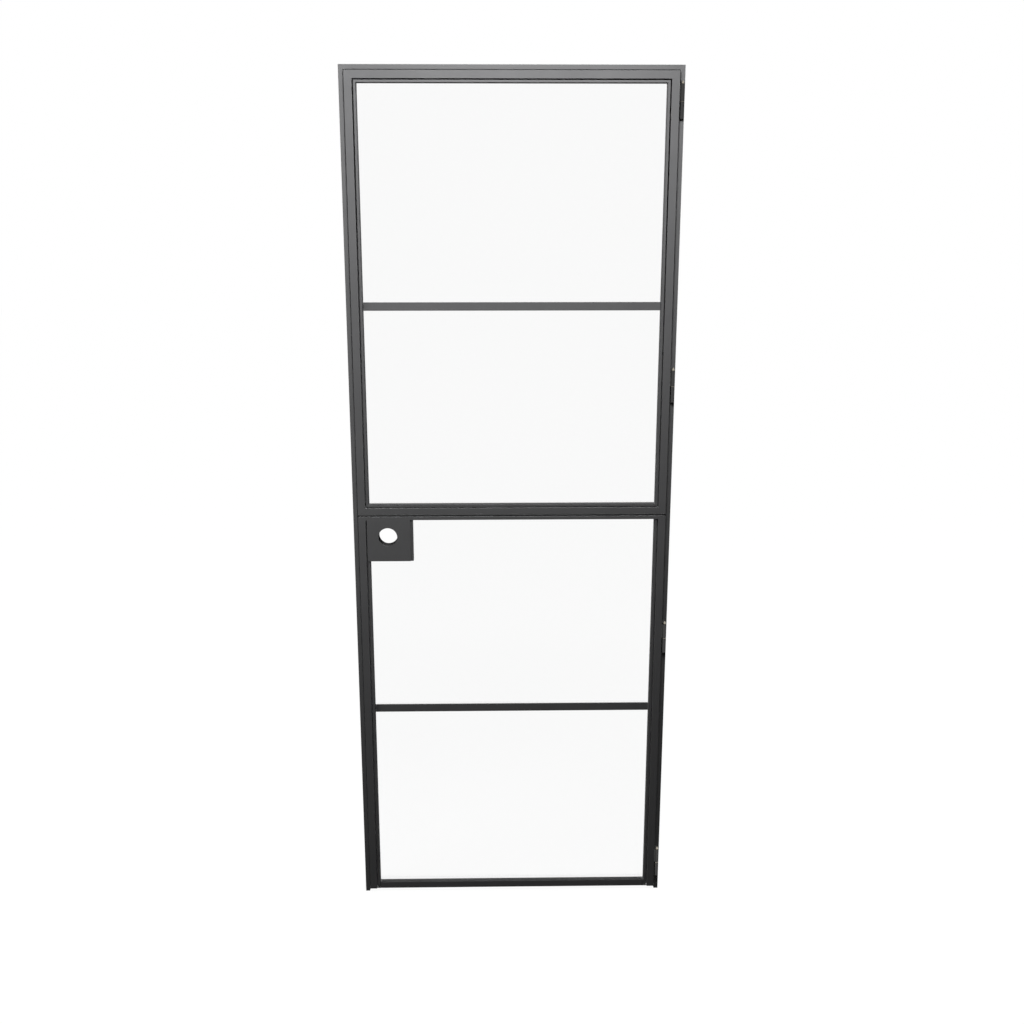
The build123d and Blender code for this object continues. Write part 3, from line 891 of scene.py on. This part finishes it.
# %% Give the floor its paper and its glow
white = (1.0, 1.0, 1.0, 1.0)
floor_paper, paper_tree, paper_shader = new_finish(
    "floor_paper",
    {
        "Base Color": (0.07, 0.07, 0.07, 1.0),
        "Roughness": 1.0,
        "Specular IOR Level": 0.0,
        "Emission Color": white,
    },
)
near_door, far_off = 0.8, 2.6
glow_near_door, glow_far_off = 0.953, 0.990
floor_place = own_place(paper_tree, (-1300, -600))
floor_reach = add_node(
    paper_tree, "ShaderNodeVectorMath", (-1100, -600), {0: floor_place}, operation="LENGTH"
)
paper_white = carried_over(
    paper_tree,
    (-900, -600),
    floor_reach.outputs["Value"],
    (near_door, far_off),
    (glow_near_door, glow_far_off),
    steps="SMOOTHSTEP",
)
floor_glow = reckoned(
    paper_tree, (-250, -300), "MULTIPLY", seen_share(paper_tree, (-900, -300)), paper_white
)
paper_tree.links.new(floor_glow, paper_shader.inputs["Emission Strength"])
floor.data.materials.append(floor_paper)
print("floor glow", glow_near_door, "by the door and", glow_far_off, "far off")

# %% [markdown]
# ## World
# Above the floor there is nothing but white, which the glass shows. A white world would also
# light the door from all round and make the paint grey. So the world has two lights, a weak one
# for what is lit and a full white for what is seen, and the same test picks between them.

# %% Make the world
world = bpy.data.worlds.new("studio_world")
scene.world = world
world.use_nodes = True
world_tree = world.node_tree
world_tree.nodes.clear()
glows = {}
for name, place, strength in (("ambient", (0, 100), 0.13), ("white_wall", (0, -100), 1.0)):
    sockets = {"Color": white, "Strength": strength}
    glows[name] = add_node(world_tree, "ShaderNodeBackground", place, sockets)
    print("world", name, strength)
either = add_node(
    world_tree,
    "ShaderNodeMixShader",
    (300, 0),
    {
        0: seen_share(world_tree, (-700, 0)),
        1: glows["ambient"].outputs["Background"],
        2: glows["white_wall"].outputs["Background"],
    },
)
world_out = add_node(world_tree, "ShaderNodeOutputWorld", (500, 0))
world_tree.links.new(either.outputs["Shader"], world_out.inputs["Surface"])

# %% [markdown]
# ## Lamps
# The photograph's paint is light at the top of the door and almost black at its foot, with an
# even fall between. The paint could be made darker downwards, but it is one coat, and a soft lamp
# close to the top gives just that fall, because its light thins out with distance. One such lamp
# hangs in front and one behind, so that both sides are lit alike. A weak lamp on each side keeps
# the outer faces of the jambs from going black.


# %% Hang the lamps
def soft_lamp(name, place, aim, size, watts):
    """A soft rectangular lamp that points from its place to the aim."""
    lamp_data = bpy.data.lights.new(name, "AREA")
    lamp_data.shape = "RECTANGLE"
    lamp_data.size, lamp_data.size_y = size
    lamp_data.energy = watts
    lamp = bpy.data.objects.new(name, lamp_data)
    lamp.location = place
    direction = Vector(aim) - Vector(place)
    lamp.rotation_euler = direction.to_track_quat("-Z", "Y").to_euler()
    lamp.visible_camera = False
    lamp.visible_glossy = False
    lamp.visible_transmission = False
    scene.collection.objects.link(lamp)
    print(name, "watts", watts)


wide_lamp = (1.0, 0.36)
soft_lamp("front_lamp", place=(-0.50, -1.1, 2.82), aim=(-0.46, 0.0, 2.5), size=wide_lamp, watts=72.0)
soft_lamp("side_lamp", place=(-2.0, -0.8, 1.5), aim=(-0.7, 0.0, 1.3), size=(0.8, 0.8), watts=13.8)
soft_lamp("rear_lamp", place=(-0.25, 1.2, 2.82), aim=(-0.45, 0.0, 2.5), size=wide_lamp, watts=74.0)
soft_lamp("hinge_lamp", place=(2.2, 0.25, 1.5), aim=(0.0, 0.0, 1.3), size=(0.8, 1.6), watts=26.0)

# %% [markdown]
# ## Last setting
# The picture is shown with the Standard view transform.

# %% Set the view transform
scene.view_settings.view_transform = "Standard"
